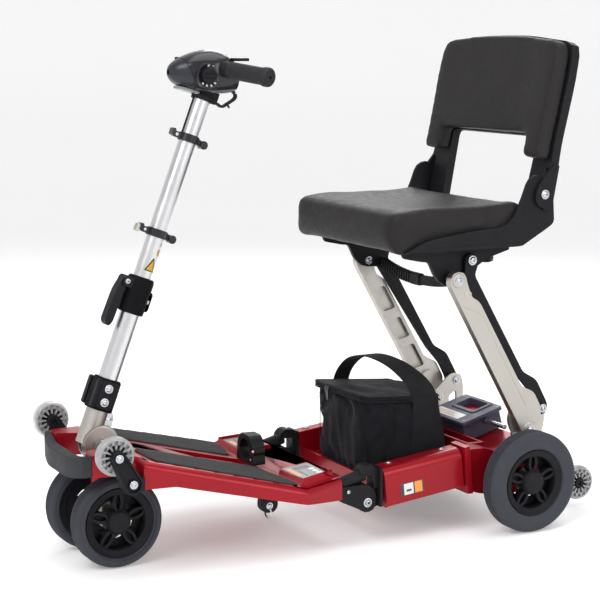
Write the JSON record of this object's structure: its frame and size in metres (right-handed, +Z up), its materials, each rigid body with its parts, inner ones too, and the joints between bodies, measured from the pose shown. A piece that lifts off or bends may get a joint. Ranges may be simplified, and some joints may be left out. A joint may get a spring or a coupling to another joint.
{
  "type": "folding mobility scooter",
  "caption": "Folding four-wheel mobility scooter with tiller, cushioned seat on lifting links, hinged deck, small bumper and anti-tip wheels, battery and storage bag.",
  "frame": {"origin": "on the floor, midway between nose bumper and anti-tip wheels, in the scooter's middle plane; the chassis hinge is straight above it", "axes": "+Z up, -Y towards the nose (the way the rider faces), +X towards the rider's left"},
  "size_m": [0.53, 1.112, 0.9683],
  "materials": {
    "red_paint": "metallic gloss",
    "satin_silver": "satin, champagne tint",
    "tube_silver": "satin anodised",
    "black_metal": "satin",
    "black_plastic": "satin grain",
    "gloss_black": "gloss",
    "tyre_rubber": "matte, fine grooves",
    "ribbed_rubber": "ribbed",
    "clear_urethane": "translucent grey",
    "black_vinyl": "fine grain",
    "black_nylon": "woven",
    "battery_case": "fine texture"
  },
  "bodies": {
    "rear_frame": {"left_rear_rail": "red_paint", "right_rear_rail": "red_paint", "left_rear_hinge_block": "black_metal", "right_rear_hinge_block": "black_metal", "rear_cross_member": "red_paint", "left_link_bracket": "satin_silver", "right_link_bracket": "satin_silver", "transaxle": "black_metal", "drive_motor": "black_metal", "controller_box": "black_plastic", "floor_tray": "red_paint", "anti_tip_frame": "black_metal", "storage_bag": "black_nylon"},
    "battery": {"battery_pack": "battery_case"},
    "left_rear_wheel": {"left_rear_tyre": "tyre_rubber", "left_rear_rim": "black_plastic"},
    "right_rear_wheel": {"right_rear_tyre": "tyre_rubber", "right_rear_rim": "black_plastic"},
    "left_anti_tip": {"left_anti_tip_wheel": "clear_urethane"},
    "right_anti_tip": {"right_anti_tip_wheel": "clear_urethane"},
    "front_frame": {"front_deck": "red_paint", "left_deck_mat": "ribbed_rubber", "right_deck_mat": "ribbed_rubber", "nose_bumper": "black_plastic", "left_bumper_arm": "black_metal", "right_bumper_arm": "black_metal", "left_front_hinge_block": "black_metal", "right_front_hinge_block": "black_metal", "tiller_clamp_base": "black_metal"},
    "clamp_jaw": {"tiller_clamp_jaw": "black_metal"},
    "tow_loop": {"tow_ring": "satin_silver"},
    "left_bumper": {"left_bumper_wheel": "clear_urethane"},
    "right_bumper": {"right_bumper_wheel": "clear_urethane"},
    "steering": {"steering_fork": "satin_silver"},
    "left_front_wheel": {"left_front_tyre": "tyre_rubber", "left_front_rim": "black_plastic"},
    "right_front_wheel": {"right_front_tyre": "tyre_rubber", "right_front_rim": "black_plastic"},
    "tiller": {"tiller_stub": "satin_silver", "lower_tiller_tube": "tube_silver", "tiller_cover": "black_plastic", "tiller_collar": "black_plastic"},
    "lever": {"collar_lever": "black_plastic"},
    "tiller_head": {"upper_tiller_tube": "tube_silver", "head_shell": "gloss_black", "handlebar": "black_metal", "left_grip": "ribbed_rubber", "right_grip": "ribbed_rubber"},
    "dial": {"speed_dial": "black_plastic"},
    "throttle": {"throttle_paddle": "black_plastic"},
    "lift_links": {"left_lift_link": "satin_silver", "right_lift_link": "satin_silver"},
    "guide_links": {"left_guide_link": "black_metal", "right_guide_link": "black_metal"},
    "seat": {"seat_frame": "black_metal", "seat_cushion": "black_vinyl", "carry_strap": "black_nylon"},
    "back": {"back_frame": "black_plastic", "back_pad": "black_vinyl"},
    "knob": {"seat_knob": "black_plastic"}
  },
  "joints": [
    {"name": "battery_lift", "type": "slide", "parent": "rear_frame", "child": "battery", "axis": [0, 0, 1], "range_m": [0, 0.2]},
    {"name": "left_rear_spin", "type": "hinge", "parent": "rear_frame", "child": "left_rear_wheel", "pos_m": [0.242, 0.332, 0.1], "axis": [1, 0, 0], "continuous": true},
    {"name": "right_rear_spin", "type": "hinge", "parent": "rear_frame", "child": "right_rear_wheel", "pos_m": [-0.242, 0.332, 0.1], "axis": [1, 0, 0], "continuous": true},
    {"name": "left_anti_tip_spin", "type": "hinge", "parent": "rear_frame", "child": "left_anti_tip", "pos_m": [0.148, 0.5205, 0.051], "axis": [1, 0, 0], "continuous": true},
    {"name": "right_anti_tip_spin", "type": "hinge", "parent": "rear_frame", "child": "right_anti_tip", "pos_m": [-0.148, 0.5205, 0.051], "axis": [1, 0, 0], "continuous": true},
    {"name": "chassis_fold", "type": "hinge", "parent": "rear_frame", "child": "front_frame", "pos_m": [0, 0, 0.085], "axis": [1, 0, 0], "range_deg": [0, 90]},
    {"name": "left_bumper_spin", "type": "hinge", "parent": "front_frame", "child": "left_bumper", "pos_m": [0.164, -0.507, 0.233], "axis": [1, 0, 0], "continuous": true},
    {"name": "right_bumper_spin", "type": "hinge", "parent": "front_frame", "child": "right_bumper", "pos_m": [-0.164, -0.507, 0.233], "axis": [1, 0, 0], "continuous": true},
    {"name": "clamp_open", "type": "hinge", "parent": "front_frame", "child": "clamp_jaw", "pos_m": [-0.032, -0.158, 0.1704], "axis": [0, -1, 0], "range_deg": [0, 95]},
    {"name": "tow_ring_swing", "type": "hinge", "parent": "front_frame", "child": "tow_loop", "pos_m": [0.16, -0.2035, 0.103], "axis": [1, 0, 0], "range_deg": [-35, 35]},
    {"name": "steering_turn", "type": "hinge", "parent": "front_frame", "child": "steering", "pos_m": [0, -0.467, 0.18], "axis": [0, 0, 1], "range_deg": [-35, 35]},
    {"name": "left_front_spin", "type": "hinge", "parent": "steering", "child": "left_front_wheel", "pos_m": [0.066, -0.467, 0.085], "axis": [1, 0, 0], "continuous": true},
    {"name": "right_front_spin", "type": "hinge", "parent": "steering", "child": "right_front_wheel", "pos_m": [-0.066, -0.467, 0.085], "axis": [1, 0, 0], "continuous": true},
    {"name": "tiller_fold", "type": "hinge", "parent": "steering", "child": "tiller", "pos_m": [0, -0.474, 0.219], "axis": [-1, 0, 0], "range_deg": [0, 25]},
    {"name": "lever_open", "type": "hinge", "parent": "tiller", "child": "lever", "pos_m": [0, -0.41765, 0.52259], "axis": [-1, 0, 0], "range_deg": [0, 90]},
    {"name": "tiller_height", "type": "slide", "parent": "tiller", "child": "tiller_head", "axis": [0, 0.3584, 0.9336], "range_m": [-0.075, 0]},
    {"name": "speed_dial_turn", "type": "hinge", "parent": "tiller_head", "child": "dial", "pos_m": [0.041, -0.263, 0.891], "axis": [1, 0, 0], "range_deg": [-135, 135]},
    {"name": "throttle_swing", "type": "hinge", "parent": "tiller_head", "child": "throttle", "pos_m": [0, -0.258, 0.919], "axis": [0, 0, 1], "range_deg": [-12, 12], "stiffness_Nm_per_rad": 0.4},
    {"name": "seat_fold", "type": "hinge", "parent": "rear_frame", "child": "lift_links", "pos_m": [0, 0.371, 0.188], "axis": [-1, 0, 0], "range_deg": [-40, 0]},
    {"name": "guide_fold", "type": "hinge", "parent": "rear_frame", "child": "guide_links", "pos_m": [0, 0.414, 0.223], "axis": [-1, 0, 0], "range_deg": [-40, 0]},
    {"name": "seat_level", "type": "hinge", "parent": "lift_links", "child": "seat", "pos_m": [0, 0.195, 0.499], "axis": [-1, 0, 0], "range_deg": [0, 40]},
    {"name": "back_fold", "type": "hinge", "parent": "seat", "child": "back", "pos_m": [0, 0.376, 0.659], "axis": [-1, 0, 0], "range_deg": [-85, 0]},
    {"name": "seat_knob_turn", "type": "hinge", "parent": "seat", "child": "knob", "pos_m": [0.12, 0.3, 0.53], "axis": [0, 0, 1], "continuous": true}
  ],
  "couplings": [
    {"joint": "guide_fold", "follows": "seat_fold", "ratio": 1},
    {"joint": "seat_level", "follows": "seat_fold", "ratio": -1}
  ]
}
